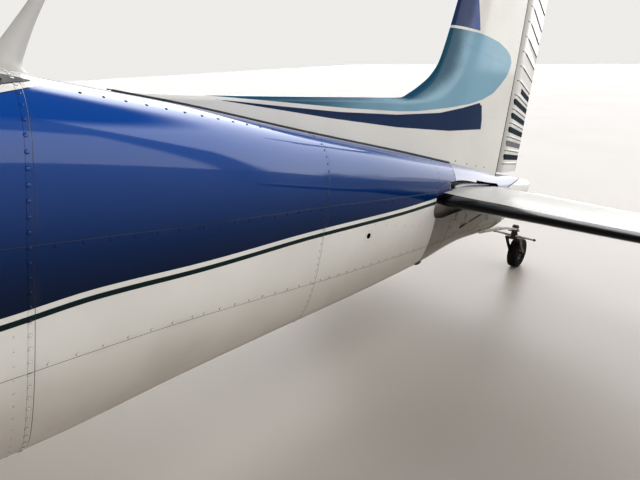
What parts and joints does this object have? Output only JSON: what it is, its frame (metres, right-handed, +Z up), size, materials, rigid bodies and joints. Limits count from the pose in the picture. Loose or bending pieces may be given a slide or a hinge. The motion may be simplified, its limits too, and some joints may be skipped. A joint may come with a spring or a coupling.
{
  "type": "high-wing light aircraft with a tailwheel",
  "caption": "High-wing tailwheel light aircraft standing on its gear, with a hollow cabin, hinged doors, control surfaces, flaps, trimming tailplane, propeller and wheels that turn.",
  "frame": {"origin": "on the floor under the middle of the parked aircraft", "axes": "+X towards the nose, +Y to port, +Z up; the airframe is pitched nose up by 11 degrees about Y"},
  "size_m": [7.6121, 10.92, 2.3227],
  "materials": {
    "paint_white": "gloss",
    "paint_blue": "gloss",
    "engine": "cast",
    "glazing": "clear",
    "panel": "matt",
    "upholstery": "woven",
    "spring_steel": "satin",
    "aerial": "satin",
    "beacon_lens": "gloss",
    "boot_rubber": "gloss",
    "tyre_rubber": "matt",
    "wheel_metal": "satin",
    "propeller_metal": "satin"
  },
  "bodies": {
    "airframe": {"cowl_upper": "paint_blue", "cowl_lower": "paint_white", "engine_block": "engine", "cabin_lower": "paint_white", "cabin_upper": "paint_white", "windshield": "glazing", "side_window_left": "glazing", "side_window_right": "glazing", "quarter_window_left": "glazing", "quarter_window_right": "glazing", "instrument_panel": "panel", "seat_front_left": "upholstery", "seat_front_right": "upholstery", "seat_rear": "upholstery", "tailcone": "paint_blue", "tail_cap": "paint_white", "dorsal_fin": "paint_white", "fin": "paint_white", "wing_left": "paint_white", "wing_right": "paint_white", "wing_tip_left": "paint_white", "wing_tip_right": "paint_white", "strut_left": "paint_white", "strut_right": "paint_white", "gear_leg_left": "spring_steel", "gear_leg_right": "spring_steel", "tail_spring": "spring_steel", "antenna": "aerial", "beacon": "beacon_lens"},
    "tailplane": {"stabilizer": "paint_white", "boot_left": "boot_rubber", "boot_right": "boot_rubber"},
    "elevator": {"elevator": "paint_white"},
    "rudder": {"rudder": "paint_white"},
    "door_left": {"door_left": "paint_white", "door_window_left": "glazing"},
    "door_right": {"door_right": "paint_white", "door_window_right": "glazing"},
    "baggage_door": {"baggage_door": "paint_blue"},
    "propeller": {"propeller": "propeller_metal", "spinner": "paint_white"},
    "flap_left": {"flap_left": "paint_white"},
    "flap_right": {"flap_right": "paint_white"},
    "aileron_left": {"aileron_left": "paint_white"},
    "aileron_right": {"aileron_right": "paint_white"},
    "wheel_left": {"tyre_left": "tyre_rubber", "rim_left": "wheel_metal"},
    "wheel_right": {"tyre_right": "tyre_rubber", "rim_right": "wheel_metal"},
    "tail_castor": {"tail_fork": "spring_steel"},
    "tail_wheel": {"tail_tyre": "tyre_rubber", "tail_rim": "wheel_metal"}
  },
  "joints": [
    {"name": "propeller_spin", "type": "hinge", "parent": "airframe", "child": "propeller", "pos_m": [3.60933, 0, 1.60817], "axis": [0.9815, 0, 0.1912], "continuous": true},
    {"name": "wheel_left_spin", "type": "hinge", "parent": "airframe", "child": "wheel_left", "pos_m": [2.31284, 1.18, 0.22268], "axis": [0, 1, 0], "continuous": true},
    {"name": "wheel_right_spin", "type": "hinge", "parent": "airframe", "child": "wheel_right", "pos_m": [2.31284, -1.18, 0.22268], "axis": [0, 1, 0], "continuous": true},
    {"name": "tailwheel_swivel", "type": "hinge", "parent": "airframe", "child": "tail_castor", "pos_m": [-3.47253, 0, 0.22851], "axis": [-0.1912, 0, 0.9815], "continuous": true},
    {"name": "tailwheel_spin", "type": "hinge", "parent": "tail_castor", "child": "tail_wheel", "pos_m": [-3.58215, -0.0171, 0.112], "axis": [-0.1281, 0.9914, -0.025], "continuous": true},
    {"name": "rudder_turn", "type": "hinge", "parent": "airframe", "child": "rudder", "pos_m": [-3.06519, 0, 0.30787], "axis": [-0.1912, 0, 0.9815], "range_deg": [-38.7, 9.3]},
    {"name": "tailplane_trim", "type": "hinge", "parent": "airframe", "child": "tailplane", "pos_m": [-2.90381, 0, 0.7346], "axis": [0, 1, 0], "range_deg": [-4.6, 4.7]},
    {"name": "elevator_turn", "type": "hinge", "parent": "tailplane", "child": "elevator", "pos_m": [-3.01408, 0, 0.72535], "axis": [0, 1, 0], "range_deg": [-9, 32]},
    {"name": "aileron_left_turn", "type": "hinge", "parent": "airframe", "child": "aileron_left", "pos_m": [0.44166, 2.55, 1.84506], "axis": [0.072, 0.9958, 0.0563], "range_deg": [-17, 17]},
    {"name": "aileron_right_turn", "type": "hinge", "parent": "airframe", "child": "aileron_right", "pos_m": [0.44166, -2.55, 1.84506], "axis": [-0.072, 0.9958, -0.0563], "range_deg": [-17, 17]},
    {"name": "flap_left_lower", "type": "hinge", "parent": "airframe", "child": "flap_left", "pos_m": [0.45189, 0.64, 1.78834], "axis": [0.0058, -0.9995, -0.0295], "range_deg": [0, 40]},
    {"name": "flap_right_lower", "type": "hinge", "parent": "airframe", "child": "flap_right", "pos_m": [0.45189, -0.64, 1.78834], "axis": [-0.0058, -0.9995, 0.0295], "range_deg": [0, 40]},
    {"name": "door_left_open", "type": "hinge", "parent": "airframe", "child": "door_left", "pos_m": [2.01923, 0.573, 1.29839], "axis": [0.1912, 0, -0.9815], "range_deg": [0, 62]},
    {"name": "door_right_open", "type": "hinge", "parent": "airframe", "child": "door_right", "pos_m": [2.01923, -0.573, 1.29839], "axis": [-0.1912, 0, 0.9815], "range_deg": [0, 62]},
    {"name": "baggage_door_open", "type": "hinge", "parent": "airframe", "child": "baggage_door", "pos_m": [0.47623, 0.528, 0.99779], "axis": [0.1912, 0, -0.9815], "range_deg": [0, 90]}
  ],
  "couplings": [
    {"joint": "aileron_right_turn", "follows": "aileron_left_turn", "ratio": -1},
    {"joint": "flap_right_lower", "follows": "flap_left_lower", "ratio": 1}
  ]
}
